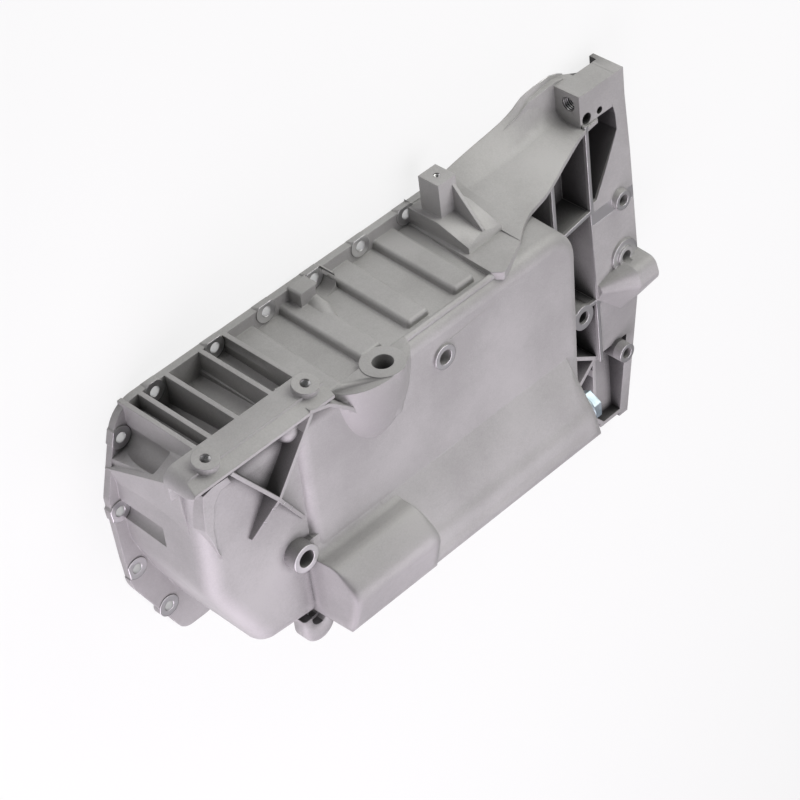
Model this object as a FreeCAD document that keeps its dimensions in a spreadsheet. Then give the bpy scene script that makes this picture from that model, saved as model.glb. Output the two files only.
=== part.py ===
import FreeCAD, Part
import math
import os

import Sketcher
from FreeCAD import Placement, Rotation, Vector

# Cast aluminium engine oil pan, in millimetres.
# It lies on its gasket face: z = 0 is that face, and +Z runs up to the bottom of the sump.
# +X runs along the crankshaft to the gearbox end, and +Y is the side with the ribbed wall.
# The origin is a bolt hole of the +Y rail, on the gasket face.

os.makedirs("parts", exist_ok=True)
doc = FreeCAD.newDocument("oil_pan")

SIZES = {
    "flange_thickness": 5.5,
    "rail_edge": 4.3,
    "rail_width": 180.0,
    "wall": 4.0,
    "rib": 3.4,
    "bolt_pitch": 41.6,
    "bolt_hole_radius": 3.7,
    "bolt_pad_radius": 8.0,
    "bolt_pad_rise": 0.8,
    "groove_radius": 10.0,
    "crest_depth": 5.0,
    "crest_height": 75.0,
    "bead_drop": 6.5,
    "wall_foot": 9.0,
    "wall_lean": 4.0,
    "floor_height": 90.0,
    "front_height": 85.0,
    "floor_rounding": 9.0,
    "front_rounding": 13.0,
    "bulge_height": 126.0,
    "bulge_edge": 118.0,
    "bulge_start": -58.0,
    "bulge_step": 13.0,
    "bulge_end": 177.0,
    "sump_end": 190.0,
    "bar_low": 69.0,
    "bar_step": 87.0,
    "bar_crest": 96.8,
    "brace_height": 97.0,
    "bracket_boss_radius": 8.8,
    "bracket_boss_rise": 4.5,
    "bracket_thread_radius": 3.4,
    "bracket_thread_depth": 16.0,
    "bracket_tilt": 14.0,
    "stick_boss_radius": 15.0,
    "stick_hole_radius": 7.0,
    "stick_boss_length": 38.0,
    "mound_rise": 4.5,
    "tube_boss_radius": 10.3,
    "tube_hole_radius": 6.2,
    "tube_boss_rise": 15.0,
    "plate_boss_radius": 9.0,
    "plate_hole_radius": 4.3,
    "block_width": 16.0,
    "block_depth": 18.0,
    "block_top": 30.0,
    "block_hole_radius": 2.4,
    "bell_face": 314.7,
    "bell_wall": 9.0,
    "wing_height": 30.0,
    "wing_floor": 4.5,
    "wing_rib": 3.2,
    "panel": 3.4,
    "ear_width": 20.5,
    "ear_height": 25.4,
    "ear_length": 44.4,
    "ear_hole_radius": 5.5,
    "half_tube_bore_radius": 6.0,
    "drain_thread_radius": 9.0,
    "drain_seat_radius": 15.0,
    "drain_seat_rise": 3.0,
    "drain_flange_radius": 12.5,
    "drain_flange_thickness": 2.6,
    "drain_hex_across": 19.0,
    "drain_hex_height": 7.0,
    "drain_shank": 13.0,
    "washer_thickness": 1.6,
    "washer_radius": 12.0,
    "thread_clearance": 0.05,
}

sheet = doc.addObject("Spreadsheet::Sheet", "Sizes")
for row, (alias, value) in enumerate(SIZES.items(), start=1):
    sheet.set("A%d" % row, alias)
    sheet.set("B%d" % row, str(value))
    sheet.setAlias("B%d" % row, alias)
doc.recompute()


def size(alias):
    return float(sheet.get(alias))


def feature(name, shape):
    made = doc.addObject("Part::Feature", name)
    made.Shape = shape
    return made


def bound(kind, name, place, **cells):
    """A primitive of the document whose sizes are tied to the sheet."""
    made = doc.addObject(kind, name)
    for prop, cell in cells.items():
        made.setExpression(prop, cell)
    made.Placement = place
    return made


def along(direction):
    return Rotation(Vector(0, 0, 1), Vector(*direction))


def post(name, base, direction, radius, height):
    return bound("Part::Cylinder", name, Placement(Vector(*base), along(direction)),
                 Radius=radius, Height=height)


def joined(name, parts):
    made = doc.addObject("Part::MultiFuse", name)
    made.Shapes = parts
    return made


def less(name, base, tool):
    made = doc.addObject("Part::Cut", name)
    made.Base = base
    made.Tool = tool
    return made


def corner_runs(points, radii):
    """Where each rounded corner starts, its middle and where it ends."""
    runs = []
    for i, point in enumerate(points):
        p = Vector(*point)
        before = (Vector(*points[i - 1]) - p).normalize()
        after = (Vector(*points[(i + 1) % len(points)]) - p).normalize()
        radius = radii[i]
        if radius <= 0:
            runs.append((p, None, p))
            continue
        half = before.getAngle(after) / 2
        back = radius / math.tan(half)
        inward = (before + after).normalize()
        middle = p + inward * (radius / math.sin(half) - radius)
        runs.append((p + before * back, middle, p + after * back))
    return runs


def outline(points, radii):
    """A closed wire of straight runs joined by tangent arcs."""
    runs = corner_runs(points, radii)
    edges = []
    for i, (start, middle, end) in enumerate(runs):
        if middle is not None:
            edges.append(Part.Arc(start, middle, end).toShape())
        following = runs[(i + 1) % len(runs)][0]
        if end.distanceToPoint(following) > 1e-6:
            edges.append(Part.LineSegment(end, following).toShape())
    return Part.Wire(edges)


def at_height(points, z):
    return [(x, y, z) for x, y in points]


def block_between(low, low_z, high, high_z, radii):
    """A block with leaning walls, from one outline up to another."""
    foot = outline(at_height(low, low_z), radii)
    head = outline(at_height(high, high_z), radii)
    return Part.makeLoft([foot, head], True, True)


def rounded_top(block, top_z, radius, keep):
    """Rounds the edges of a block's flat top where keep(middle of edge) is true."""
    top = [face for face in block.Faces if abs(face.CenterOfMass.z - top_z) < 0.01
           and abs(face.normalAt(0, 0).z) > 0.99][0]
    edges = [edge for edge in top.Edges if keep(edge.CenterOfMass)]
    return block.makeFillet(radius, edges)


def profile_run(points, radii, start, end):
    """A section given as (y, z) corners, drawn out along X."""
    wire = outline([(start, y, z) for y, z in points], radii)
    return Part.Face(wire).extrude(Vector(end - start, 0, 0))


def plan_plate(points, radii, low, high):
    wire = outline(at_height(points, low), radii)
    return Part.Face(wire).extrude(Vector(0, 0, high - low))


def rib_between(start, end, low, high, thickness):
    """An upright rib from one plan point to another."""
    a = Vector(start[0], start[1], low)
    b = Vector(end[0], end[1], low)
    side = (b - a).cross(Vector(0, 0, 1)).normalize() * (thickness / 2)
    corners = [a + side, b + side, b - side, a - side]
    return Part.Face(Part.makePolygon(corners + corners[:1])).extrude(Vector(0, 0, high - low))


# Gasket flange

thickness = size("flange_thickness")
edge_y = size("rail_edge")
far_y = -size("rail_width")
lower_edge = far_y - edge_y
sump_end = size("sump_end")
flange_end = sump_end + 16.0


def sketched_plate(name, points, radii, height_cell):
    """A plate padded from a sketch of lines and arcs on the gasket face."""
    body = doc.addObject("PartDesign::Body", name)
    sketch = body.newObject("Sketcher::SketchObject", name + "_sketch")
    plane = [item for item in body.Origin.OriginFeatures if item.Role == "XY_Plane"][0]
    sketch.AttachmentSupport = (plane, [""])
    sketch.MapMode = "FlatFace"
    runs = corner_runs(at_height(points, 0.0), radii)
    for i, (start, middle, end) in enumerate(runs):
        if middle is not None:
            sketch.addGeometry(Part.Arc(start, middle, end), False)
        sketch.addGeometry(Part.LineSegment(end, runs[(i + 1) % len(runs)][0]), False)
    pad = body.newObject("PartDesign::Pad", name + "_pad")
    pad.Profile = sketch
    pad.setExpression("Length", height_cell)
    return body


flange_points = [(flange_end, edge_y), (-123.9, edge_y), (-143.0, -58.0), (-140.8, -134.4),
                 (-108.8, far_y - 19.0), (-84.0, far_y - 19.0), (-76.0, lower_edge),
                 (flange_end, lower_edge)]
flange_radii = [0, 23.0, 8.0, 30.0, 12.0, 10.0, 6.0, 0]
flange_plate = sketched_plate("flange_plate", flange_points, flange_radii, "Sizes.flange_thickness")

front_holes = [(-125.0, -17.3), (-137.1, -70.5), (-134.3, -122.5), (-116.9, -169.8)]
near_holes = [(-93.9, -1.5), (-43.8, 0.0)]
pitch = size("bolt_pitch")
near_holes += [(pitch * step, 0.0) for step in range(4)]
far_holes = [(pitch * step, far_y) for step in range(-1, 5)]
rail_holes = front_holes + near_holes + far_holes

# Sump shell: a front block, a higher main block and a deep bulge along the far side

front_top = size("front_height")
floor_top = size("floor_height")
foot = size("wall_foot")
lean = size("wall_lean")
start_x = size("bulge_start")
step_x = size("bulge_step")
stop_x = size("bulge_end")
deep_z = size("bulge_height")
edge_z = size("bulge_edge")
far_foot = far_y + 5.0
far_head = far_foot + 7.0
front_overlap = 20.0


def sump_solid(gap):
    """The sump's outside, or its hollow when gap is the wall's thickness."""
    low = -1.0 if gap > 0 else 0.0
    cross_x = start_x + front_overlap
    front_low = [(cross_x, -foot - gap), (-134.0 + gap, -30.0 - gap), (-135.0 + gap, -60.0),
                 (-132.5 + gap, -98.0), (-122.0 + gap, -128.0), (-103.0 + gap, far_foot + 5.0 + gap),
                 (cross_x, far_foot + gap)]
    front_high = [(cross_x, -foot - lean - gap), (-134.0 + gap, -10.0 - gap), (-135.0 + gap, -50.0),
                  (-137.0 + gap, -101.0), (-121.0 + gap, -133.0), (-103.0 + gap, far_head - 1.5 + gap),
                  (cross_x, far_head - 8.0 + gap)]
    corners = [0, 0, 0, 40.0, 0, 16.0, 0]
    front = block_between(front_low, low, front_high, front_top - gap, corners)
    front = rounded_top(front, front_top - gap, size("front_rounding"),
                        lambda middle: middle.x < cross_x - 1.0)
    main_low = [(sump_end + 8.5 - gap, -foot - gap), (start_x + gap, -foot - gap),
                (start_x + gap, far_foot + gap), (sump_end + 2.5 - gap, far_foot + gap)]
    main_high = [(sump_end + 7.0 - gap, -foot - lean - gap), (start_x + 2.0 + gap, -foot - lean - gap),
                 (start_x + 2.0 + gap, far_head - 6.0 + gap), (sump_end - 0.5 - gap, far_head - 6.0 + gap)]
    main = block_between(main_low, low, main_high, floor_top - gap, [24.0 - gap, 0, 0, 0])
    main = rounded_top(main, floor_top - gap, size("floor_rounding"), lambda middle: middle.y > far_head)
    root = floor_top - 24.0
    step_y = -118.5 - gap
    deep_points = [(-104.0 - gap, root), (-104.0 - gap, floor_top - 0.8 - gap), (step_y, floor_top - 0.8 - gap),
                   (step_y - 1.0, 107.0 - gap), (-136.0 - gap, deep_z - gap), (far_head + gap, edge_z - gap),
                   (far_head - 5.0 + gap, root)]
    deep_radii = [0, 0, 8.0, 14.0, 10.0, 3.0, 0]
    deep = profile_run(deep_points, deep_radii, start_x - 20.0, step_x + 10.0)
    cap_right = step_x + 4.0 - gap
    cap_low = [(-62.0 + gap, -103.0), (-60.0 + gap, far_foot - 10.0), (cap_right, far_foot - 10.0),
               (cap_right, -103.0)]
    cap_high = [(-53.5 + gap, -103.0), (-59.5 + gap, far_foot - 10.0), (cap_right, far_foot - 10.0),
                (cap_right, -103.0)]
    deep = deep.common(block_between(cap_low, front_top - 6.0, cap_high, deep_z + 2.0, [0, 0, 0, 28.0]))
    root_rise = (edge_z - 5.0 - floor_top + 1.0) / 37.4
    shallow_points = [(-112.6 + 24.0 / root_rise - gap, root), (-112.6 - gap, floor_top - 1.0 - gap),
                      (-150.0 + gap / 2, edge_z - 5.0 - gap), (far_head + gap, edge_z - gap),
                      (far_head - 5.0 + gap, root)]
    shallow = profile_run(shallow_points, [0, 0, 14.0, 3.0, 0], step_x - 12.0, stop_x - gap)
    return front.multiFuse([main, deep, shallow])


wall = size("wall")
sump_outside = feature("sump_outside", sump_solid(0.0))
sump_core = feature("sump_core", sump_solid(wall))
liners = [post("liner_%d" % i, (x, y, -2.0), (0, 0, 1), "Sizes.bolt_pad_radius + 4", "52")
          for i, (x, y) in enumerate(front_holes, start=1)]
drain_y = far_y + 20.0
drain_z = edge_z - 22.0
seat_x = stop_x + size("drain_seat_rise")
liners.append(post("drain_liner", (seat_x - 5.0, drain_y, drain_z), (1, 0, 0), "Sizes.drain_seat_radius + 4.5", "40"))
drain_recess = post("drain_recess", (seat_x - 1.0, drain_y, drain_z), (1, 0, 0), "Sizes.drain_seat_radius + 0.5",
                    "40")
sump_hollow = less("sump_hollow", sump_core, joined("liners", liners))

# Ribbed wall: raised crests between the tool grooves of the bolts

groove = size("groove_radius")
crest_top = size("crest_height")
crest_rise = size("crest_depth")


def crest(left, right, head):
    """One raised crest with a rounded lower end."""
    root = -foot - lean - 3.0
    low = [(left, root), (right, root), (right - 1.0, -foot + crest_rise), (left + 1.0, -foot + crest_rise)]
    high = [(left, root), (right, root), (right - 2.0, -foot - lean * 0.85 + crest_rise),
            (left + 2.0, -foot - lean * 0.85 + crest_rise)]
    block = block_between(low, thickness - 1.0, high, head, [0, 0, 0, 0])
    outer = [edge for edge in block.Edges if edge.CenterOfMass.y > root + 1.0
             and edge.CenterOfMass.z > thickness]
    return block.makeFillet(2.6, outer)


crest_spans = [(-33.0 - size("rib"), -groove), (groove, pitch - groove),
               (pitch + groove, 2 * pitch - groove), (2 * pitch + groove, 3 * pitch - groove)]
crest_heads = [crest_top + 11.0, crest_top + 3.0, crest_top + 3.0, crest_top + 3.0]
crests = [feature("crest_%d" % i, crest(left, right, head))
          for i, ((left, right), head) in enumerate(zip(crest_spans, crest_heads), start=1)]
wall_bead = post("wall_bead", (pitch, -foot - 2.8, floor_top - size("bead_drop")), (1, 0, 0), "2.2",
                 "Sizes.bolt_pitch * 2.1")

# Upright ribs at the front of the near wall, with the bar that ties their heads

bar_low = size("bar_low")
bar_step = size("bar_step")
bar_crest = size("bar_crest")
rib = size("rib")
rib_places = [-104.2, -82.5, -54.4, -34.3]
pocket_back = -foot - lean - 12.0
wall_ribs = []
for i, x in enumerate(rib_places, start=1):
    made = bound("Part::Box", "wall_rib_%d" % i,
                 Placement(Vector(x - rib / 2, pocket_back, 0), Rotation()),
                 Length="Sizes.rib", Height="Sizes.bar_low + 2")
    made.Width = edge_y - pocket_back
    wall_ribs.append(made)

front_rib_points = [(-118.0, pocket_back), (-114.5, pocket_back), (-114.5, edge_y), (-118.0, edge_y)]
front_rib = feature("front_rib", plan_plate(front_rib_points, [0, 0, 0, 0], 0.0, bar_low + 2.0))

bar_start = -143.0
bar_stop = -28.0
bar_floor = bar_low + size("wall")
bar_points = [(edge_y, bar_low), (edge_y, bar_step), (edge_y - 1.6, bar_step + 0.4), (-0.2, bar_crest),
              (-2.4, bar_crest), (-6.5, bar_step + 2.0), (-6.5, bar_floor), (-18.0, bar_floor), (-18.0, bar_low)]
bar_body = profile_run(bar_points, [0] * 9, bar_start, bar_stop)
bar_mask = plan_plate([(bar_start, -60.0), (bar_stop, -60.0), (bar_stop, edge_y), (bar_start, edge_y)],
                      [0, 0, 0, 9.0], 0.0, 130.0)
bar = feature("bar", bar_body.common(bar_mask))

fluted_low = [(-114.5, -8.0), (-116.8, -23.0), (-125.3, -31.7), (-137.1, -37.3), (-130.0, -70.0),
              (-100.0, -70.0), (-100.0, -8.0)]
fluted_high = [(-114.5, -6.0), (-121.0, -7.0), (-130.0, -8.5), (-137.5, -9.0), (-134.0, -70.0),
               (-100.0, -70.0), (-100.0, -6.0)]
fluted_panel = feature("fluted_panel", block_between(fluted_low, 0.0, fluted_high, bar_low + 4.0, [0] * 7))

# Braces on the underside, from the bar down over the front of the sump

brace_top = size("brace_height")
brace_foot = front_top - 20.0
brace_width = 2.6
crossing = (-82.0, -47.4)
brace_paths = [((-47.5, -2.0), crossing), ((-113.4, -2.8), crossing), ((-48.7, 0.0), (-33.0, -5.0)),
               ((-33.0, -5.0), (-18.0, -18.0)), ((-18.0, -18.0), (2.0, -43.0))]
braces = [feature("brace_%d" % i, rib_between(a, b, brace_foot, brace_top, brace_width))
          for i, (a, b) in enumerate(brace_paths, start=1)]


def tapered_brace(start, end, end_top):
    """A brace whose ridge drops from the crossing to its free end."""
    a = Vector(start[0], start[1], brace_foot)
    b = Vector(end[0], end[1], brace_foot)
    side = (b - a).cross(Vector(0, 0, 1)).normalize() * (brace_width / 2)
    rise_a = Vector(0, 0, brace_top - brace_foot)
    rise_b = Vector(0, 0, end_top - brace_foot)
    corners = [a + side, b + side, b + side + rise_b, a + side + rise_a, a + side]
    return Part.Face(Part.makePolygon(corners)).extrude(side * -2)


braces.append(feature("brace_end_1", tapered_brace(crossing, (-100.3, -73.0), front_top + 3.0)))
braces.append(feature("brace_end_2", tapered_brace(crossing, (-57.8, -87.0), front_top + 1.0)))
brace_lump = bound("Part::Sphere", "brace_lump", Placement(Vector(-58.5, -13.0, 84.0), Rotation()),
                   Radius="Sizes.bracket_boss_radius")
rim_points = [(-109.8, -14.0), (-121.3, -13.5), (-129.7, -15.4), (-131.6, -28.7), (-132.6, -42.0),
              (-124.5, -71.7), (-126.6, -61.6), (-126.6, -44.8), (-122.4, -27.4), (-116.1, -19.8),
              (-107.9, -19.3)]
rim_foot = [(-109.8, -9.0), (-121.3, -8.5), (-132.5, -10.0), (-134.5, -28.7), (-135.5, -46.0)] + rim_points[5:]
front_rim = feature("front_rim", block_between(rim_foot, brace_foot, rim_points, front_top + 2.0, [0] * 11))

# Bosses for brackets on the bar

tilt = math.radians(size("bracket_tilt"))
bracket_axis = (0.0, math.cos(tilt), math.sin(tilt))
bracket_places = [(-121.6, edge_y, 84.0), (-38.2, edge_y, 82.0)]
bracket_bosses = []
bracket_threads = []
for i, (x, y, z) in enumerate(bracket_places, start=1):
    sunk = 8.0
    base = (x, y - sunk * bracket_axis[1], z - sunk * bracket_axis[2])
    bracket_bosses.append(post("bracket_boss_%d" % i, base, bracket_axis, "Sizes.bracket_boss_radius",
                               "Sizes.bracket_boss_rise + %g" % sunk))
    mouth = size("bracket_boss_rise")
    deep = size("bracket_thread_depth")
    root = (x, y + (mouth - deep) * bracket_axis[1], z + (mouth - deep) * bracket_axis[2])
    bracket_threads.append(post("bracket_thread_%d" % i, root, bracket_axis,
                                "Sizes.bracket_thread_radius", "Sizes.bracket_thread_depth + 1"))

# Dipstick boss through the near wall, tube boss on the front, plain boss on the underside

stick_x = 17.6
stick_z = 91.0
stick_mouth_y = -8.0
stick_boss = bound("Part::Cone", "stick_boss", Placement(Vector(stick_x, stick_mouth_y, stick_z),
                                                         along((0, -1, 0))),
                   Radius1="Sizes.stick_boss_radius", Radius2="Sizes.stick_boss_radius - 6",
                   Height="Sizes.stick_boss_length")
stick_hole = post("stick_hole", (stick_x, stick_mouth_y - size("stick_boss_length") - 8.0, stick_z), (0, 1, 0),
                  "Sizes.stick_hole_radius", "Sizes.stick_boss_length + 20")
mound_low = [(-18.0, -40.0), (2.0, -54.0), (20.0, -57.0), (35.0, -48.0), (38.0, -20.0), (-18.0, -20.0)]
mound_high = [(-12.0, -34.0), (4.0, -46.0), (18.0, -49.0), (27.5, -42.0), (28.5, -16.0), (-12.0, -16.0)]
mound_top = floor_top + size("mound_rise")
mound = feature("mound", rounded_top(block_between(mound_low, floor_top - 3.0, mound_high, mound_top,
                                                   [0, 8.0, 10.0, 8.0, 0, 0]),
                                     mound_top, 3.0, lambda middle: middle.y < -20.0))

tube_x = -68.0
tube_y = -109.6
tube_boss = post("tube_boss", (tube_x, tube_y, front_top - 6.0), (0, 0, 1), "Sizes.tube_boss_radius",
                 "Sizes.tube_boss_rise + 1")
tube_hole = post("tube_hole", (tube_x, tube_y, front_top - 12.0), (0, 0, 1), "Sizes.tube_hole_radius", "30")

plain_x = 68.5
plain_y = -38.5
plain_boss = post("plain_boss", (plain_x, plain_y, floor_top - 8.0), (0, 0, 1), "Sizes.plate_boss_radius",
                  "10")
plain_hole = post("plain_hole", (plain_x, plain_y, floor_top - 14.0), (0, 0, 1), "Sizes.tube_hole_radius - 1",
                  "20")

lug_x = start_x
lug_y = far_y + 5.5
lug_points = [(lug_x - 13.0, far_y + 8.0), (lug_x - 13.0, far_y - 16.0), (lug_x + 13.0, far_y - 16.0),
              (lug_x + 13.0, far_y + 8.0)]
lug = feature("lug", rounded_top(plan_plate(lug_points, [0, 12.9, 12.9, 0], front_top - 11.0, front_top),
                                 front_top, 2.5, lambda middle: middle.y < far_y + 7.0))
lug_recess = post("lug_recess", (lug_x, lug_y, front_top - 6.0), (0, 0, 1), "Sizes.bolt_pad_radius - 1.5", "60")
lug_hole = post("lug_hole", (lug_x, lug_y, front_top - 24.0), (0, 0, 1), "Sizes.plate_hole_radius", "40")

# Wing: the part that reaches from the sump to the gearbox face

bell_face = size("bell_face")
wing_top = size("wing_height")
wing_floor = size("wing_floor")
wing_rib = size("wing_rib")
wing_far = -300.0
wing_points = [(150.0, edge_y - 4.0), (185.0, 5.0), (212.0, 8.6), (236.0, 14.0), (246.0, 18.5),
               (272.0, 20.0), (285.0, 17.0), (298.0, 10.8), (310.7, 10.1), (310.7, 17.6), (bell_face, 17.6),
               (bell_face, wing_far), (284.0, wing_far), (186.0, lower_edge), (150.0, lower_edge)]
wing_radii = [0, 0, 0, 8.0, 10.0, 6.0, 0, 3.0, 0, 0, 0, 0, 12.0, 6.0, 0]
wing_plate = feature("wing_plate", plan_plate(wing_points, wing_radii, 0.0, wing_floor))

bell_rim_points = [(17.6, 0.0), (17.6, 26.9), (-4.0, 26.9), (-50.0, 29.2), (-137.0, 31.2), (-178.0, 29.0),
                   (wing_far, 12.0), (wing_far, 0.0)]
bell_rim = feature("bell_rim", profile_run(bell_rim_points, [0] * 8, bell_face - size("bell_wall"), bell_face))

ear_top = 17.5
ear_low = ear_top - size("ear_height")
ear_z = 6.4
ear_start = bell_face - size("ear_length")
ear = bound("Part::Box", "ear", Placement(Vector(ear_start, ear_low, ear_z - 6.4), Rotation()),
            Length="Sizes.ear_length", Width="Sizes.ear_height", Height="Sizes.ear_width + 6.4")
ear_hole = post("ear_hole", (ear_start - 1.0, ear_low + 15.8, 16.6), (1, 0, 0), "Sizes.ear_hole_radius",
                "Sizes.ear_length + 2")

band_start = 271.0
band_points = [(band_start, -72.6), (278.4, -71.2), (300.5, -33.5), (304.1, -27.2), (303.9, -14.6),
               (300.9, -0.4), (294.0, -1.2), (286.0, -8.6), (band_start, -8.6), (band_start, 8.0),
               (bell_face - 1.0, 8.0), (bell_face - 1.0, -213.0), (band_start, -213.0)]
band_top = profile_run(bell_rim_points, [0] * 8, band_start - 5.0, bell_face - 0.5)
band = feature("band", band_top.common(plan_plate(band_points, [0] * 13, -1.0, 40.0)))
band_hollow_points = [(276.0, -84.0), (300.0, -84.0), (303.0, -70.0), (303.0, -206.0), (276.0, -206.0)]
band_hollow = feature("band_hollow", plan_plate(band_hollow_points, [0] * 5, -1.0, wing_top - 6.0))

long_rib_x = 272.5
wing_rib_paths = [((long_rib_x, -6.0), (long_rib_x, -213.0), wing_top),
                  ((long_rib_x, -213.0), (270.0, wing_far + 20.0), 22.0),
                  ((236.0, -9.5), (236.0, -78.0), wing_top),
                  ((186.0, -92.0), (long_rib_x, -78.0), wing_top),
                  ((186.0, -157.0), (long_rib_x, -157.0), wing_top),
                  ((186.0, -157.0), (long_rib_x, -213.0), wing_top - 4.0),
                  ((long_rib_x, -213.0), (240.0, -240.0), wing_top - 6.0),
                  ((200.0, lower_edge - 8.0), (288.0, wing_far + 5.0), 13.0),
                  ((284.0, wing_far + 6.0), (bell_face - 2.0, wing_far + 6.0), 13.0)]
wing_ribs = [feature("wing_rib_%d" % i, rib_between(a, b, 0.0, top, wing_rib))
             for i, (a, b, top) in enumerate(wing_rib_paths, start=1)]

panel = size("panel")
panel_y = -8.0
panel_stations = [(157.0, 4.2, -6.0, 14.0, 76.5), (170.0, 6.4, -1.5, 18.5, 67.8), (184.0, 8.8, 0.0, 19.4, 61.4),
                  (202.0, 11.2, 0.0, 18.8, 57.2), (222.0, 14.0, 0.0, 17.0, 49.5), (234.0, 17.8, 0.0, 13.5, 44.2),
                  (243.0, 22.2, 0.0, 11.0, 40.6), (256.0, 24.0, -2.0, 7.0, 35.2), (270.0, 24.2, -8.0, 5.0, 30.4),
                  (286.0, 17.2, -8.0, 4.6, 28.0)]


def panel_section(x, low_y, fold_y, fold_z, high_z):
    """The flared foot and the upright part of the panel at one station."""
    corners = [(low_y, 0.0), (fold_y, fold_z), (panel_y, high_z), (panel_y - panel, high_z),
               (fold_y - panel, fold_z - 2.5), (low_y - 1.7 * panel, 0.0)]
    return outline([(x, y, z) for y, z in corners], [0, 12.0, 0, 0, 12.0, 0])


def between_stations(stations, parts):
    """More stations along a smooth run that never swings past the given ones."""
    slopes = []
    for i, station in enumerate(stations):
        before = stations[max(i - 1, 0)]
        after = stations[min(i + 1, len(stations) - 1)]
        row = []
        for k in range(1, len(station)):
            left = (station[k] - before[k]) / (station[0] - before[0]) if i > 0 else None
            right = (after[k] - station[k]) / (after[0] - station[0]) if after is not station else None
            if left is None or right is None:
                row.append(right if left is None else left)
            elif left * right <= 0:
                row.append(0.0)
            else:
                row.append(2 * left * right / (left + right))
        slopes.append(row)
    full = [stations[0]]
    for i in range(len(stations) - 1):
        a, b = stations[i], stations[i + 1]
        run = b[0] - a[0]
        for step in range(1, parts + 1):
            t = step / parts
            eased = t * t * (3 - 2 * t)
            values = [a[0] + run * t]
            for k in range(1, len(a)):
                value = a[k] + (b[k] - a[k]) * eased
                value += run * t * (1 - t) * (1 - t) * slopes[i][k - 1]
                value -= run * t * t * (1 - t) * slopes[i + 1][k - 1]
                values.append(value)
            full.append(tuple(values))
    return full


panel_sections = [panel_section(*station) for station in between_stations(panel_stations, 2)]
flare_panel = feature("flare_panel", Part.makeLoft(panel_sections, True, True))
root_points = [(126.0, thickness - 1.0), (158.0, thickness - 1.0), (158.0, 76.0), (146.3, 82.1), (127.5, 90.5),
               (122.0, 84.0)]
root_wire = outline([(x, panel_y - 0.3, z) for x, z in root_points], [0, 0, 0, 0, 2.0, 0])
panel_root = feature("panel_root", Part.Face(root_wire).extrude(Vector(0, -6.0, 0)))

half_tube_y = -157.0
hump_small = [(-157.0, 20.0), (-157.0, 30.0), (-148.0, 35.0), (-143.5, 33.0), (-143.0, 20.0)]
hump_large = [(-184.0, 20.0), (-184.0, 26.0), (-150.0, 51.5), (-136.0, 47.5), (-133.5, 20.0)]
hump_radii = [0, 0, 9.0, 8.0, 0]


def hump_section(x, points, share):
    return outline([(x, y, z) for y, z in points], [radius * share for radius in hump_radii])


hump_x = bell_face - 18.7
hump_rise = Part.makeLoft([hump_section(long_rib_x, hump_small, 0.3), hump_section(hump_x, hump_large, 1.0)],
                          True, True)
hump_run = Part.Face(hump_section(hump_x, hump_large, 1.0)).extrude(Vector(bell_face - hump_x, 0, 0))
half_tube = feature("half_tube", hump_rise.fuse(hump_run))
half_tube_bore = post("half_tube_bore", (bell_face - 14.0, half_tube_y, wing_top), (1, 0, 0),
                      "Sizes.half_tube_bore_radius", "16")
rib_boss_x = bell_face - 57.4
rib_boss_y = half_tube_y - 6.0
rib_boss = post("rib_boss", (rib_boss_x, rib_boss_y, 0.0), (0, 0, 1), "Sizes.plate_boss_radius + 1",
                "Sizes.wing_height")
rib_boss_hole = post("rib_boss_hole", (rib_boss_x, rib_boss_y, -1.0), (0, 0, 1), "Sizes.plate_hole_radius + 0.7",
                     "Sizes.wing_height + 2")
wing_holes = [(bell_face - 14.7, -82.8), (bell_face - 15.0, -131.6), (bell_face - 20.2, -218.5)]
wing_bosses = [post("wing_boss_%d" % i, (x, y, 0.0), (0, 0, 1), "Sizes.plate_boss_radius - 1.5",
                    "Sizes.wing_height + 4.5") for i, (x, y) in enumerate(wing_holes, start=1)]
wing_bosses.append(post("wing_boss_ring", wing_holes[1] + (0.0,), (0, 0, 1), "Sizes.plate_boss_radius + 3.5",
                        "Sizes.wing_height + 3"))
wing_bores = [post("wing_bore_%d" % i, (x, y, -1.0), (0, 0, 1), "Sizes.plate_hole_radius",
                   "Sizes.wing_height + 9") for i, (x, y) in enumerate(wing_holes, start=1)]
top_bores = [post("top_bore_1", (bell_face - 38.2, -3.0, -1.0), (0, 0, 1), "Sizes.plate_hole_radius", "40"),
             post("top_bore_2", (bell_face - 25.2, -3.5, 12.0), (0, 0, 1), "Sizes.plate_hole_radius - 1.6",
                  "30")]

# Block with a thread on the near rail, and its gusset

block_x = 3 * pitch + 7.2
block_z = 14.0
block = bound("Part::Box", "block", Placement(Vector(block_x, -foot - 2.0, block_z), Rotation()),
              Length="Sizes.block_width", Height="Sizes.block_depth")
block.setExpression("Width", "Sizes.block_top + Sizes.wall_foot + 2")
block_hole = post("block_hole", (block_x + 8.0, size("block_top") - 16.0, block_z + 9.0), (0, 1, 0),
                  "Sizes.block_hole_radius", "20")
gusset_points = [(-foot, block_z + 10.0), (24.0, block_z + 18.0), (-2.0, 56.0), (-foot, 56.0)]
gusset = feature("gusset", profile_run(gusset_points, [0] * 4, block_x + 12.0, block_x + 14.6))

tab_points = [(20.0, -10.0), (50.0, -10.0), (50.0, edge_y + 1.5), (20.0, edge_y + 1.5)]
tab_ridge = bound("Part::Cone", "tab_ridge", Placement(Vector(33.0, -foot - 2.0, 12.0), along((-13.0, -3.0, 42.0))),
                  Radius1="Sizes.groove_radius", Radius2="Sizes.groove_radius * 0.4", Height="48")
rail_tab = feature("rail_tab", plan_plate(tab_points, [0, 0, 2.0, 2.0], thickness - 1.0, 17.0))

# Drain boss on the end of the bulge

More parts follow.
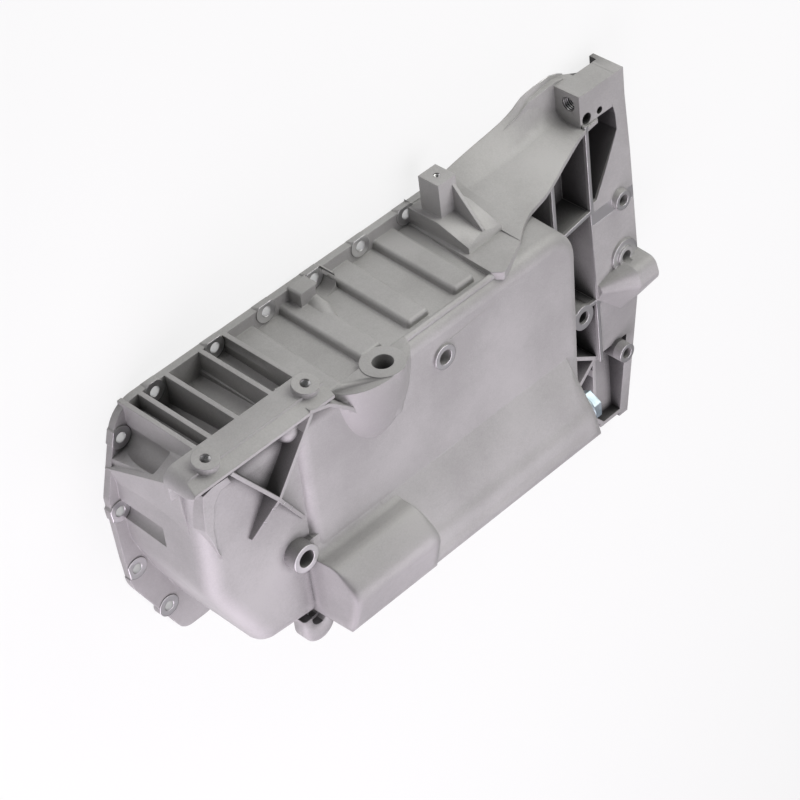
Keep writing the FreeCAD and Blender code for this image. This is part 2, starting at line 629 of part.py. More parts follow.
drain_seat = post("drain_seat", (stop_x - 12.0, drain_y, drain_z), (1, 0, 0), "Sizes.drain_seat_radius",
                  "Sizes.drain_seat_rise + 12")
drain_thread = post("drain_thread", (stop_x - 14.0, drain_y, drain_z), (1, 0, 0),
                    "Sizes.drain_thread_radius + Sizes.thread_clearance", "Sizes.drain_seat_rise + 16")

bolt_pads = []
bolt_holes = []
for i, (x, y) in enumerate(rail_holes, start=1):
    bolt_pads.append(post("bolt_pad_%d" % i, (x, y, 0.0), (0, 0, 1), "Sizes.bolt_pad_radius",
                          "Sizes.flange_thickness + Sizes.bolt_pad_rise"))
    bolt_holes.append(post("bolt_hole_%d" % i, (x, y, -1.0), (0, 0, 1), "Sizes.bolt_hole_radius", "20"))

# The casting: outer forms, then scallops, hollows, bosses and bores

outer_forms = [flange_plate, sump_outside, bar, front_rib, fluted_panel, mound, wing_plate, bell_rim,
               ear, band, flare_panel, half_tube, rib_boss, gusset, rail_tab, tab_ridge, wall_bead,
               brace_lump, front_rim, panel_root]
outer_forms += crests + wall_ribs + braces + wing_ribs + wing_bosses
near_scallops = [post("scallop_%d" % i, (x, y, thickness), (0, 0, 1), "Sizes.bolt_pad_radius + 0.6", "40")
                 for i, (x, y) in enumerate(front_holes + near_holes, start=1)]

rough = joined("rough_casting", outer_forms)
scallop_tools = joined("scallop_tools", near_scallops + [drain_recess])
scalloped = less("scalloped_casting", rough, scallop_tools)
sump_opened = less("opened_casting", scalloped, sump_hollow)
hollowed = less("hollowed_casting", sump_opened, band_hollow)
bosses = [stick_boss, tube_boss, plain_boss, lug, block, drain_seat] + bracket_bosses + bolt_pads
bossed = joined("bossed_casting", [hollowed] + bosses)
bores = joined("bores", [stick_hole, tube_hole, plain_hole, lug_recess, lug_hole, ear_hole, half_tube_bore,
                         rib_boss_hole, block_hole, drain_thread]
               + bolt_holes + bracket_threads + wing_bores + top_bores)
casting = less("pan_casting", bossed, bores)

# Drain plug and its washer


def drain_plug():
    body = doc.addObject("PartDesign::Body", "drain_plug")
    sketch = body.newObject("Sketcher::SketchObject", "drain_plug_profile")
    plane = [item for item in body.Origin.OriginFeatures if item.Role == "XY_Plane"][0]
    sketch.AttachmentSupport = (plane, [""])
    sketch.MapMode = "FlatFace"
    shank = size("drain_thread_radius")
    rim = size("drain_flange_radius")
    rise = size("drain_flange_thickness")
    corners = [(-size("drain_shank"), 0.0), (rise, 0.0), (rise, rim - 1.0), (rise - 1.0, rim), (0.0, rim),
               (0.0, shank), (-size("drain_shank") + 1.5, shank), (-size("drain_shank"), shank - 1.5)]
    for i, corner in enumerate(corners):
        after = corners[(i + 1) % len(corners)]
        sketch.addGeometry(Part.LineSegment(Vector(*corner, 0), Vector(*after, 0)), False)
    turned = body.newObject("PartDesign::Revolution", "drain_plug_turned")
    turned.Profile = sketch
    turned.ReferenceAxis = (sketch, ["H_Axis"])
    turned.Angle = 360.0
    doc.recompute()
    end = [item for item in body.Origin.OriginFeatures if item.Role == "YZ_Plane"][0]
    head = body.newObject("Sketcher::SketchObject", "drain_plug_hexagon")
    head.AttachmentSupport = (end, [""])
    head.MapMode = "FlatFace"
    reach = size("drain_hex_across") / math.sqrt(3.0)
    points = [Vector(reach * math.cos(math.radians(60 * k)), reach * math.sin(math.radians(60 * k)), 0)
              for k in range(6)]
    for i, point in enumerate(points):
        head.addGeometry(Part.LineSegment(point, points[(i + 1) % 6]), False)
    hexagon = body.newObject("PartDesign::Pad", "drain_plug_head")
    hexagon.Profile = head
    hexagon.setExpression("Length", "Sizes.drain_flange_thickness + Sizes.drain_hex_height")
    body.Placement = Placement(Vector(seat_x + size("washer_thickness"), drain_y, drain_z), Rotation())
    return body


plug = drain_plug()
washer_disc = post("washer_disc", (seat_x, drain_y, drain_z), (1, 0, 0), "Sizes.washer_radius",
                   "Sizes.washer_thickness")
washer_bore = post("washer_bore", (seat_x - 1.0, drain_y, drain_z), (1, 0, 0),
                   "Sizes.drain_thread_radius + Sizes.thread_clearance", "Sizes.washer_thickness + 2")
washer = less("drain_plug_washer", washer_disc, washer_bore)

doc.recompute()

for item in doc.Objects:
    if "Invalid" in item.State or "Error" in item.State:
        raise RuntimeError("%s did not build: %s" % (item.Name, item.State))

for part in (casting, plug, washer):
    shape = part.Shape
    if shape.isNull() or not shape.isValid():
        raise RuntimeError("%s has no valid shape" % part.Label)
    if len(shape.Solids) != 1:
        raise RuntimeError("%s has %d solids" % (part.Label, len(shape.Solids)))
    shape.exportStep("parts/%s.step" % part.Label)
    box = shape.BoundBox
    print("%s  %.0f mm3  x %.1f..%.1f  y %.1f..%.1f  z %.1f..%.1f" % (
        part.Label, shape.Volume, box.XMin, box.XMax, box.YMin, box.YMax, box.ZMin, box.ZMax))
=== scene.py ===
import math

import bpy
from mathutils import Matrix, Vector
from mathutils.bvhtree import BVHTree
from mathutils.interpolate import poly_3d_calc


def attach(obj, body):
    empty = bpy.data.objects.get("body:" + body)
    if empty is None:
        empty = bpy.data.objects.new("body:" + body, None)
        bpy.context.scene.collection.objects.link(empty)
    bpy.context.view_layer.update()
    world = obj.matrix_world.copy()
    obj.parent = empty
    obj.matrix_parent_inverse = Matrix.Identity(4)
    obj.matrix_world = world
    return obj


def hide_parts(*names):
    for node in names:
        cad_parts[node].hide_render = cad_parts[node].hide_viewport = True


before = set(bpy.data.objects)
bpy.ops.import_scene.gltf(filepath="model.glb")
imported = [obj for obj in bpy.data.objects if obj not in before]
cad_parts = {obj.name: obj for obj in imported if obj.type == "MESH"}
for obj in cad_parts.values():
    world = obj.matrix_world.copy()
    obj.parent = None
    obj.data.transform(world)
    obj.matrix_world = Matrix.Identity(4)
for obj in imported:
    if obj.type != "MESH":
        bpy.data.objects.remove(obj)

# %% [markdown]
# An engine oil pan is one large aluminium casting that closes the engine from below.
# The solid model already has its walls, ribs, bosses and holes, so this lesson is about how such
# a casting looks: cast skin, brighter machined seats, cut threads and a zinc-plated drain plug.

bpy.ops.object.select_all(action="DESELECT")
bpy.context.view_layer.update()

# %% [markdown]
# The picture is taken from about 1.7 m with a long lens, so parallel edges stay nearly parallel.
# The camera's place and two of its directions are written down as they were found from the pan's
# own edges, in the pan's frame. The third direction stands square to both.

# %% Camera
CAMERA_PLACE = Vector((-0.8078, 1.0813, 1.0778))
CAMERA_RIGHT = Vector((0.70097, -0.09894, 0.70629))
CAMERA_UP = Vector((0.52117, 0.74709, -0.41259))
LENS_MM = 123.88
SENSOR_MM = 36.0
FARTHEST = 20.0

right = CAMERA_RIGHT.normalized()
up = (CAMERA_UP - right * CAMERA_UP.dot(right)).normalized()
back = right.cross(up)
camera_data = bpy.data.cameras.new("camera")
camera_data.lens = LENS_MM
camera_data.sensor_width = SENSOR_MM
camera_data.clip_end = FARTHEST
camera = bpy.data.objects.new("camera", camera_data)
bpy.context.scene.collection.objects.link(camera)
turn = Matrix((right, up, back)).transposed().to_4x4()
camera.matrix_world = Matrix.Translation(CAMERA_PLACE) @ turn
bpy.context.scene.camera = camera
bpy.context.scene.view_settings.view_transform = "Standard"
print("camera looks along", [round(value, 3) for value in -back])

# %% [markdown]
# The casting's mesh comes as loose triangles. A copy is merged into one closed skin, which can then be
# dressed like a real casting: what a cutter takes off is cut away, and what the mould adds is joined.
# A Boolean modifier does both, so the metal stays one body and its corners can be rounded.

# %% A dressed copy of the casting
MERGE_DISTANCE = 0.000002


def select_only(piece):
    bpy.ops.object.select_all(action="DESELECT")
    piece.select_set(True)
    bpy.context.view_layer.objects.active = piece


def in_edit_mode(piece, *steps):
    """Runs the steps one after the other on all of the piece's mesh."""
    select_only(piece)
    bpy.ops.object.mode_set(mode="EDIT")
    bpy.ops.mesh.select_all(action="SELECT")
    for step in steps:
        step()
    bpy.ops.object.mode_set(mode="OBJECT")


def merged_copy(node, name):
    select_only(bpy.data.objects[node])
    bpy.ops.object.duplicate(linked=False)
    copy = bpy.context.object
    copy.name = name
    in_edit_mode(copy, lambda: bpy.ops.mesh.remove_doubles(threshold=MERGE_DISTANCE))
    print(name, len(copy.data.vertices), "points after merging")
    return copy


def combine(piece, tool, operation):
    """Joins the tool to the piece or cuts it away, and removes the tool."""
    select_only(piece)
    step = piece.modifiers.new(operation.lower(), "BOOLEAN")
    step.operation = operation
    step.solver = "EXACT"
    step.object = tool
    bpy.ops.object.modifier_apply(modifier=step.name)
    bpy.data.objects.remove(tool, do_unlink=True)
    print(operation.lower(), len(piece.data.polygons), "faces")


def prism(name, corners, travel):
    """A flat outline of corners, drawn out along travel into a solid."""
    bpy.ops.object.select_all(action="DESELECT")
    bpy.ops.mesh.primitive_circle_add(vertices=len(corners), radius=0.01, fill_type="NGON",
                                      location=(0.0, 0.0, 0.0))
    piece = bpy.context.object
    piece.name = name
    for vertex, corner in zip(piece.data.vertices, corners):
        vertex.co = corner
    in_edit_mode(piece,
                 lambda: bpy.ops.mesh.extrude_region_move(TRANSFORM_OT_translate={"value": travel}),
                 lambda: bpy.ops.mesh.select_all(action="SELECT"),
                 lambda: bpy.ops.mesh.normals_make_consistent(inside=False))
    return piece


pan = merged_copy("pan_casting", "pan_skin")

# %% [markdown]
# The rail's edge runs straight past its bolt seats, so the rounded ears of the seats are cut back to
# it, with a little draft. The ear at the gearbox end is thinner than its joint flange, and the metal
# beside the flange is cut away in one wedge.

# %% Straight edges and the ear's step
BELOW = -0.001
RAIL_START = -0.112
RAIL_LENGTH = 0.242
RAIL_SLOPE = [(0.0043, BELOW), (0.0064, 0.0072), (0.0120, 0.0072), (0.0120, BELOW)]
rail_cut = prism("rail_cut", [(RAIL_START, y, z) for y, z in RAIL_SLOPE], (RAIL_LENGTH, 0.0, 0.0))
combine(pan, rail_cut, "DIFFERENCE")

FRONT_HEIGHT = 0.0082
FRONT_EDGE = [(-0.1287, -0.0085), (-0.1441, -0.0560), (-0.1443, -0.0645), (-0.1404, -0.1285),
              (-0.1520, -0.1290), (-0.1540, -0.0600), (-0.1370, -0.0050)]
front_cut = prism("front_cut", [(x, y, BELOW) for x, y in FRONT_EDGE], (0.0, 0.0, FRONT_HEIGHT))
combine(pan, front_cut, "DIFFERENCE")

EAR_HEIGHT = 0.0074
EAR_STEP = [(0.2835, 0.0176), (0.2980, 0.0110), (0.3107, 0.0103), (0.3107, 0.0200), (0.2835, 0.0200)]
ear_cut = prism("ear_cut", [(x, y, BELOW) for x, y in EAR_STEP], (0.0, 0.0, EAR_HEIGHT))
combine(pan, ear_cut, "DIFFERENCE")

# %% [markdown]
# Round the dipstick boss the real casting swells into one dome that runs down over the sump's edge.
# It starts as a sphere, is stretched to the swelling's length, and is sliced flat where the boss's
# mouth is machined and where it sinks into the wall. Its hole is bored before it is joined.

# %% The dome of the dipstick boss
DOME_MIDDLE = Vector((0.010, -0.0085, 0.082))
DOME_RADII = (0.0330, 0.0570, 0.0235)
DOME_FLOOR = 0.0835
STICK_MIDDLE = Vector((0.0176, 0.0, 0.091))
STICK_RADIUS = 0.007
STICK_LENGTH = 0.12


def slice_off(piece, place, direction):
    """Cuts the piece at a plane, drops what lies along direction and closes the cut."""
    in_edit_mode(piece, lambda: bpy.ops.mesh.bisect(plane_co=place, plane_no=direction, use_fill=True,
                                                    clear_outer=True))


bpy.ops.mesh.primitive_uv_sphere_add(segments=72, ring_count=36, radius=1.0, location=(0.0, 0.0, 0.0))
dome = bpy.context.object
for vertex in dome.data.vertices:
    vertex.co = DOME_MIDDLE + Vector([part * radius for part, radius in zip(vertex.co, DOME_RADII)])
slice_off(dome, (0.0, DOME_MIDDLE.y, 0.0), (0.0, 1.0, 0.0))
slice_off(dome, (0.0, 0.0, DOME_FLOOR), (0.0, 0.0, -1.0))
bpy.ops.mesh.primitive_cylinder_add(vertices=64, radius=STICK_RADIUS, depth=STICK_LENGTH,
                                    location=STICK_MIDDLE, rotation=(math.radians(90.0), 0.0, 0.0))
combine(dome, bpy.context.object, "DIFFERENCE")
combine(pan, dome, "UNION")

# %% [markdown]
# The threaded block stands on a step of its own, a little above the wall beside it.

# %% The block's step
STEP_START = 0.1270
STEP_LENGTH = 0.0310
STEP_SIDE = [(0.0040, 0.0050), (0.0040, 0.0330), (-0.0040, 0.0600), (-0.0090, 0.0600), (-0.0090, 0.0050)]
block_step = prism("block_step", [(STEP_START, y, z) for y, z in STEP_SIDE], (STEP_LENGTH, 0.0, 0.0))
combine(pan, block_step, "UNION")

# %% [markdown]
# The solid model knows the exact direction of its curved faces at every corner, and the merged copy has
# lost it. So each face of the copy looks for the face of the solid model that it lies on, and takes the
# directions from there, blended by how near each corner of that face is. The faces of the dome, of the
# step and of the cuts lie on none, and are shaded by their own angles.

# %% Normals
ON_FACE = 0.00002
SAME_WAY = 0.999
LEAST_AGREEMENT = 0.3
SMOOTH_BELOW = math.radians(30.0)


def borrow_normals(piece, source):
    tree = BVHTree.FromObject(source, bpy.context.evaluated_depsgraph_get())
    theirs = source.data
    own = piece.data
    normals = [corner.vector.copy() for corner in own.corner_normals]
    found = 0
    for face in own.polygons:
        place, direction, index, distance = tree.find_nearest(face.center)
        if index is None or distance > ON_FACE or direction.dot(face.normal) < SAME_WAY:
            continue
        match = theirs.polygons[index]
        corners = [theirs.vertices[number].co for number in match.vertices]
        directions = [theirs.corner_normals[number].vector for number in match.loop_indices]
        for loop in face.loop_indices:
            shares = poly_3d_calc(corners, own.vertices[own.loops[loop].vertex_index].co)
            blend = sum((share * way for share, way in zip(shares, directions)), Vector())
            if blend.dot(face.normal) > LEAST_AGREEMENT:
                normals[loop] = blend.normalized()
        found += 1
    own.normals_split_custom_set(normals)
    print("faces on the solid model", found, "own faces", len(own.polygons) - found)


select_only(pan)
bpy.ops.object.shade_smooth_by_angle(angle=SMOOTH_BELOW)
borrow_normals(pan, bpy.data.objects["pan_casting"])

# %% [markdown]
# Four holes carry threads that show from outside. A thread is a small three-cornered ridge that climbs
# round the wall of its bore, and a Screw modifier turns one triangle into all of it. Its two ends are
# then closed, and the finished thread is turned on to the axis of its bore.

# %% Threads
RIDGE = 0.0005
RIDGE_SUNK = 0.3
RIDGE_HALF_WIDTH = 0.46
STEPS_A_TURN = 32
THREAD_SMOOTH_BELOW = math.radians(35.0)


def thread(name, mouth, axis, radius, pitch, turns):
    bpy.ops.object.select_all(action="DESELECT")
    bpy.ops.mesh.primitive_circle_add(vertices=3, radius=0.01, location=(0.0, 0.0, 0.0))
    coil = bpy.context.object
    coil.name = name
    foot = radius + RIDGE * RIDGE_SUNK
    half = pitch * RIDGE_HALF_WIDTH
    ridge = [(foot, 0.0, -half), (foot, 0.0, half), (radius - RIDGE, 0.0, 0.0)]
    for vertex, corner in zip(coil.data.vertices, ridge):
        vertex.co = corner
    turning = coil.modifiers.new("screw", "SCREW")
    turning.axis = "Z"
    turning.screw_offset = pitch
    turning.iterations = turns
    turning.steps = STEPS_A_TURN
    turning.render_steps = STEPS_A_TURN
    bpy.ops.object.modifier_apply(modifier=turning.name)
    in_edit_mode(coil,
                 lambda: bpy.ops.mesh.remove_doubles(threshold=MERGE_DISTANCE),
                 lambda: bpy.ops.mesh.fill_holes(sides=3),
                 lambda: bpy.ops.mesh.select_all(action="SELECT"),
                 lambda: bpy.ops.mesh.normals_make_consistent(inside=False))
    direction = Vector(axis).normalized()
    start = Vector(mouth) - direction * (pitch * (turns + 0.5))
    lean = Vector((0.0, 0.0, 1.0)).rotation_difference(direction).to_matrix().to_4x4()
    coil.data.transform(Matrix.Translation(start) @ lean)
    select_only(coil)
    bpy.ops.object.shade_smooth_by_angle(angle=THREAD_SMOOTH_BELOW)
    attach(coil, "root")
    print(name, len(coil.data.polygons), "faces")
    return coil


TILT = math.radians(14.0)
BRACKET_AXIS = Vector((0.0, math.cos(TILT), math.sin(TILT)))
BRACKET_RISE = BRACKET_AXIS * 0.0045
BRACKET_MOUTHS = [Vector((-0.1216, 0.0043, 0.0840)) + BRACKET_RISE,
                  Vector((-0.0382, 0.0043, 0.0820)) + BRACKET_RISE]
THREADS = [("bracket_thread_1", BRACKET_MOUTHS[0], BRACKET_AXIS, 0.0034, 0.00125, 9),
           ("bracket_thread_2", BRACKET_MOUTHS[1], BRACKET_AXIS, 0.0034, 0.00125, 9),
           ("ear_thread", (0.2703, 0.0077, 0.0166), (-1.0, 0.0, 0.0), 0.0055, 0.00175, 8),
           ("block_thread", (0.1400, 0.0300, 0.0230), (0.0, 1.0, 0.0), 0.0024, 0.0010, 8)]
threads = [thread(*numbers) for numbers in THREADS]

# %% [markdown]
# A shader is easier to read as arithmetic. The class below wraps one output of a node, and Python's
# operators on it add Math nodes. Every other node comes from Graph.node, which takes the node's
# type, its settings, and the values or links of its sockets.

# %% Shader arithmetic


class Wire:
    def __init__(self, graph, socket):
        self.graph = graph
        self.socket = socket

    def __add__(self, other):
        return self.graph.maths("ADD", self, other)

    def __sub__(self, other):
        return self.graph.maths("SUBTRACT", self, other)

    def __rsub__(self, other):
        return self.graph.maths("SUBTRACT", other, self)

    def __mul__(self, other):
        return self.graph.maths("MULTIPLY", self, other)

    def __lt__(self, other):
        return self.graph.maths("LESS_THAN", self, other)

    def __gt__(self, other):
        return self.graph.maths("GREATER_THAN", self, other)

    def __abs__(self):
        return self.graph.maths("ABSOLUTE", self)

    def or_more(self, other):
        return self.graph.maths("MAXIMUM", self, other)

    def or_less(self, other):
        return self.graph.maths("MINIMUM", self, other)

    __radd__ = __add__


class Graph:
    def __init__(self, name):
        self.material = bpy.data.materials.new(name)
        self.material.use_nodes = True
        self.tree = self.material.node_tree
        self.tree.nodes.clear()

    def node(self, kind, settings=None, sockets=None, output=0):
        made = self.tree.nodes.new(kind)
        for name, value in (settings or {}).items():
            setattr(made, name, value)
        for name, value in (sockets or {}).items():
            if isinstance(value, Wire):
                self.tree.links.new(value.socket, made.inputs[name])
            else:
                made.inputs[name].default_value = value
        return Wire(self, made.outputs[output]) if len(made.outputs) else made

    def maths(self, operation, first, second=0.0):
        return self.node("ShaderNodeMath", {"operation": operation}, {0: first, 1: second})

    def step(self, value, low, high):
        """0 below low, 1 above high, smooth between."""
        return self.node("ShaderNodeMapRange", {"interpolation_type": "SMOOTHSTEP"},
                         {"Value": value, "From Min": low, "From Max": high, "To Min": 0.0, "To Max": 1.0})

    def blend(self, amount, low, high):
        """A colour between two colours."""
        return self.node("ShaderNodeMix", {"data_type": "RGBA"}, {"Factor": amount, 6: low, 7: high}, 2)

    def noise(self, place, scale, detail, roughness=0.5):
        return self.node("ShaderNodeTexNoise", {}, {"Vector": place, "Scale": scale, "Detail": detail,
                                                    "Roughness": roughness})

    def axis(self, vector, name):
        return self.node("ShaderNodeSeparateXYZ", {}, {"Vector": vector}, name)

    def finish(self, shader):
        self.node("ShaderNodeOutputMaterial", {}, {"Surface": shader})
        return self.material


print(Graph.__name__, "makes the nodes and", Wire.__name__, "adds the arithmetic")

# %% [markdown]
# Where a cutter has been, on bolt seats, boss tops, rail holes and the two joint faces, the metal is
# flat and brighter. On the rail holes' walls the bright colour is also painted light, standing in for the
# bright light seen through the holes. Those faces lie at known heights, so the material finds them from
# position and normal, and the rail holes from the distance to their axes.

# %% Machined faces
PITCH = 0.0416
FAR_RAIL = -0.180
GEARBOX_FACE = 0.3147
RAIL_HOLES = [(-0.1250, -0.0173), (-0.1371, -0.0705), (-0.1343, -0.1225), (-0.1169, -0.1698),
              (-0.0939, -0.0015), (-0.0438, 0.0),
              *[(PITCH * step, 0.0) for step in range(4)],
              *[(PITCH * step, FAR_RAIL) for step in range(-1, 5)]]
HOLE_REACH = 0.0039
SEAT_HEIGHTS = [0.0063, 0.030, 0.033, 0.0345, 0.079, 0.0920, 0.0950]
SEAT_BAND = 0.00012
FACING = 0.95


def machined_and_bore_light(graph, place):
    """1 where a cutter has been, with painted light on the rail holes' walls; 0 on the cast skin."""
    along = graph.axis(place, "X")
    height = graph.axis(place, "Z")
    normal = graph.node("ShaderNodeTexCoord", output="Normal")
    facing_up = graph.axis(normal, "Z") > FACING
    facing_far = graph.axis(normal, "X") > FACING
    cut = abs(height) < SEAT_BAND
    for seat in SEAT_HEIGHTS:
        cut = cut + (abs(height - seat) < SEAT_BAND) * facing_up
    cut = (cut + (abs(along - GEARBOX_FACE) < SEAT_BAND) * facing_far).or_less(1.0)

    flat = graph.node("ShaderNodeVectorMath", {"operation": "MULTIPLY"}, {0: place, 1: (1.0, 1.0, 0.0)})
    nearest = 1.0
    for hole in RAIL_HOLES:
        nearest = graph.node("ShaderNodeVectorMath", {"operation": "DISTANCE"}, {0: flat, 1: (*hole, 0.0)},
                             "Value").or_less(nearest)
    # the rail holes' walls: drilled metal, and painted light for what shines through the holes
    return cut.or_more((nearest < HOLE_REACH) * (height < SEAT_HEIGHTS[0]))


print(len(RAIL_HOLES), "rail holes and", len(SEAT_HEIGHTS), "seat heights")

# %% [markdown]
# The narrow pockets are dark, more than soft lamps alone make them, so their shade is painted into the
# skin's colour. An Ambient Occlusion node measures how open a place is, and the skin is painted darker
# where it is closed in. Between the ribs of the wing, and in the pit under the bar, this painted shade
# starts sooner than on the rest of the pan.

# %% Painted shade in pockets
POCKET_REACH = 0.045
ANYWHERE_OPEN = (0.02, 0.24)
WING_OPEN = (0.30, 0.72)
WING_START = 0.195
WING_TOP = 0.0275
WING_SLOPE = 0.165
WING_SIDE = -0.0010
EAR_FACE = 0.2703
PANEL_SIDE = -0.012
PIT_OPEN = (0.24, 0.74)
PIT_SHARE = 0.85
PIT_END = -0.056
PIT_SIDE = -0.010
PIT_HEIGHT = 0.084
PIT_DEPTH = 0.0135


def painted_shade_in_pockets(graph, place):
    """1 where shade is painted, deep in a pocket; 0 in the open."""
    along, across, height = [graph.axis(place, name) for name in "XYZ"]
    openness = graph.node("ShaderNodeAmbientOcclusion", {"samples": 8}, {"Distance": POCKET_REACH}, "AO")
    under_panel = (along - WING_START) * WING_SLOPE + WING_SIDE > across
    on_panel = (across > PANEL_SIDE) * (along < EAR_FACE)
    in_wing = (1.0 - on_panel) * (along > WING_START) * (height < WING_TOP) * under_panel
    in_wing = in_wing * (abs(along - EAR_FACE) > SEAT_BAND)
    in_pit = (along < PIT_END) * (across < PIT_SIDE) * (abs(height - PIT_HEIGHT) < PIT_DEPTH)
    closed = 1.0 - graph.step(openness, *ANYWHERE_OPEN)
    closed = closed.or_more(in_wing * (1.0 - graph.step(openness, *WING_OPEN)))
    return closed.or_more(in_pit * (1.0 - graph.step(openness, *PIT_OPEN)) * PIT_SHARE)


print("wing pockets from x", WING_START, "and the pit up to x", PIT_END)

# %% [markdown]
# The cast skin is a fine grain with slow dents and slightly uneven grey. A Bevel node bends the normal
# near every edge, as the mould's rounded corners do, and bends it over a wider band on the bulge, which
# so looks rounder than its mesh is.

# %% Cast aluminium
CAST_DARK = (0.36, 0.357, 0.35, 1.0)
CAST_LIGHT = (0.47, 0.467, 0.46, 1.0)
# painted shade: the dark colour that closed-in pockets are blended towards
PAINTED_POCKET_SHADE = (0.055, 0.054, 0.054, 1.0)
# bright cut metal; on the rail holes' walls it is also painted light
CUT_AND_BORE_LIGHT_COLOUR = (0.66, 0.66, 0.66, 1.0)
CUT_ROUGHNESS = 0.34
CUT_METALLIC = 0.45
SKIN_METALLIC = 0.45
TONE_RANGE = (0.34, 0.66)
EDGE_ROUNDING = 0.0009
BULGE_ROUNDING = 0.0110
BULGE_HEIGHTS = (0.060, 0.072)
BULGE_SIDES = (0.118, 0.130)
RELIEF_DEPTH = 0.0003
RELIEF_STRENGTH = 0.35


def cast_aluminium():
    graph = Graph("cast_aluminium_skin")
    place = graph.node("ShaderNodeTexCoord", output="Object")
    across = graph.axis(place, "Y")
    height = graph.axis(place, "Z")
    cut = machined_and_bore_light(graph, place)
    clouds = graph.noise(place, 14.0, 3.0)
    grain = graph.noise(place, 900.0, 2.0, 0.7)
    pits = graph.noise(place, 260.0, 3.0, 0.6)

    tone = graph.step(clouds * 0.6 + grain * 0.25 + pits * 0.15, *TONE_RANGE)
    # the skin's tone, with painted shade blended in where the pockets are closed in
    skin_with_painted_shade = graph.blend(painted_shade_in_pockets(graph, place), graph.blend(tone, CAST_DARK, CAST_LIGHT),
                              PAINTED_POCKET_SHADE)
    colour = graph.blend(cut, skin_with_painted_shade, CUT_AND_BORE_LIGHT_COLOUR)
    roughness = (0.55 + pits * 0.12 + grain * 0.06) * (1.0 - cut) + cut * CUT_ROUGHNESS

    on_bulge = graph.step(height, *BULGE_HEIGHTS) * graph.step(0.0 - across, *BULGE_SIDES)
    rounded = graph.node("ShaderNodeBevel", {"samples": 8},
                         {"Radius": on_bulge * (BULGE_ROUNDING - EDGE_ROUNDING) + EDGE_ROUNDING})
    skin = grain * 0.5 + pits * 0.35 + clouds * 0.6
    relief = graph.node("ShaderNodeBump", {}, {"Strength": RELIEF_STRENGTH, "Distance": RELIEF_DEPTH,
                                               "Height": skin * (1.0 - cut), "Normal": rounded})
    shader = graph.node("ShaderNodeBsdfPrincipled", {},
                        {"Base Color": colour, "Metallic": cut * CUT_METALLIC + SKIN_METALLIC,
                         "Roughness": roughness, "Normal": relief})
    return graph.finish(shader)


pan_metal = cast_aluminium()
print(pan_metal.name, len(pan_metal.node_tree.nodes), "nodes")

# %% [markdown]
# The plug's zinc plate, its washer and the cut threads are plain metals: two tones in soft clouds, and a
# roughness that follows the same clouds. The plug's edges are a little rounded too.

# %% Plain metals
CLOUD_DETAIL = 3.0
CLOUD_ROUGHNESS = 0.2


def plain_metal(name, cloud_scale, tone_range, dark, light, metallic, roughness, rounding=None):
    graph = Graph(name)
    clouds = graph.noise(graph.node("ShaderNodeTexCoord", output="Object"), cloud_scale, CLOUD_DETAIL)
    sockets = {"Base Color": graph.blend(graph.step(clouds, *tone_range), dark, light),
               "Metallic": metallic, "Roughness": clouds * CLOUD_ROUGHNESS + roughness}
    if rounding:
        sockets["Normal"] = graph.node("ShaderNodeBevel", {"samples": 6}, {"Radius": rounding})
    return graph.finish(graph.node("ShaderNodeBsdfPrincipled", {}, sockets))


zinc_metal = plain_metal("zinc_plated_steel_skin", 120.0, (0.35, 0.65), (0.30, 0.38, 0.42, 1.0),
                         (0.48, 0.56, 0.60, 1.0), 0.8, 0.30, 0.0006)
washer_metal = plain_metal("washer_aluminium_skin", 200.0, (0.3, 0.7), (0.55, 0.55, 0.56, 1.0),
                           (0.66, 0.66, 0.67, 1.0), 0.9, 0.3)
thread_metal = plain_metal("cut_thread_skin", 300.0, (0.3, 0.7), (0.58, 0.58, 0.58, 1.0),
                           (0.72, 0.72, 0.72, 1.0), 0.9, 0.2)

for coil in threads:
    coil.data.materials.append(thread_metal)
metals = {"pan_skin": pan_metal, "drain_plug": zinc_metal, "drain_plug_washer": washer_metal}
for name, metal in metals.items():
    carrier = bpy.data.objects[name]
    for slot in carrier.material_slots:
        slot.material = metal
    print(name, len(carrier.data.polygons), "faces")

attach(pan, "root")
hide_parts("pan_casting")

# %% [markdown]
# The floor is a plain white sheet. To the camera, and in reflections, most of its light is its own, so
# it looks white and the object's shadow still falls on it. It adds no light to the pan's rough skin.

# %% Floor
FLOOR_SIZE = 12.0
OWN_LIGHT = 0.8

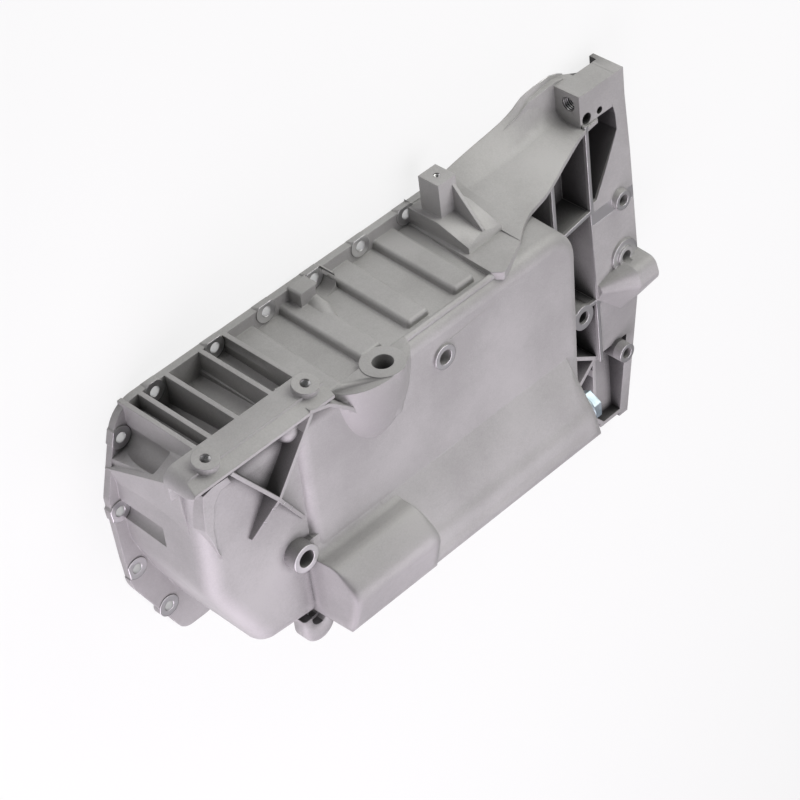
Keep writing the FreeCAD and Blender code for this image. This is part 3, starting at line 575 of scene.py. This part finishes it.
bpy.ops.mesh.primitive_plane_add(size=FLOOR_SIZE, location=(0.0, 0.0, 0.0))
floor = bpy.context.object
floor.name = "floor"
paper = Graph("floor_paper")
seen = paper.node("ShaderNodeLightPath", output="Is Camera Ray").or_more(
    paper.node("ShaderNodeLightPath", output="Is Glossy Ray"))
plain = paper.node("ShaderNodeBsdfDiffuse", {}, {"Color": (0.75, 0.75, 0.75, 1.0)})
glow = paper.node("ShaderNodeEmission", {}, {"Color": (1.0, 1.0, 1.0, 1.0), "Strength": 1.0})
mixed = paper.node("ShaderNodeMixShader", {}, {"Fac": seen * OWN_LIGHT, 1: plain, 2: glow})
floor.data.materials.append(paper.finish(mixed))
print("floor", FLOOR_SIZE, "m wide")

# %% [markdown]
# Three large soft lamps stand around the pan. One shines on the ribbed wall, the largest on the sump's
# bottom, and one on the front. The surroundings are a dim grey, so that the deep pockets stay dark.

# %% Lamps
PAN_MIDDLE = Vector((0.08, -0.12, 0.05))
SKY_COLOUR = (0.9, 0.9, 0.92, 1.0)
SKY_STRENGTH = 0.14


def soft_lamp(name, direction, distance, width, watts, colour):
    data = bpy.data.lights.new(name, "AREA")
    data.shape = "SQUARE"
    data.size = width
    data.energy = watts
    data.color = colour
    lamp = bpy.data.objects.new(name, data)
    bpy.context.scene.collection.objects.link(lamp)
    lamp.location = PAN_MIDDLE + Vector(direction).normalized() * distance
    lamp.rotation_euler = (PAN_MIDDLE - lamp.location).to_track_quat("-Z", "Y").to_euler()
    print(name, watts, "W")


soft_lamp("wall_lamp", (0.6, 1.0, 0.3), 1.3, 1.0, 11.0, (1.0, 0.997, 0.96))
soft_lamp("bottom_lamp", (0.15, -0.15, 1.0), 1.6, 1.4, 19.0, (0.985, 0.93, 1.0))
soft_lamp("front_lamp", (-0.9, -0.7, 0.6), 1.1, 1.0, 13.0, (0.98, 0.88, 1.0))

world = bpy.data.worlds.new("studio")
bpy.context.scene.world = world
world.use_nodes = True
sky = world.node_tree.nodes["Background"]
sky.inputs["Color"].default_value = SKY_COLOUR
sky.inputs["Strength"].default_value = SKY_STRENGTH
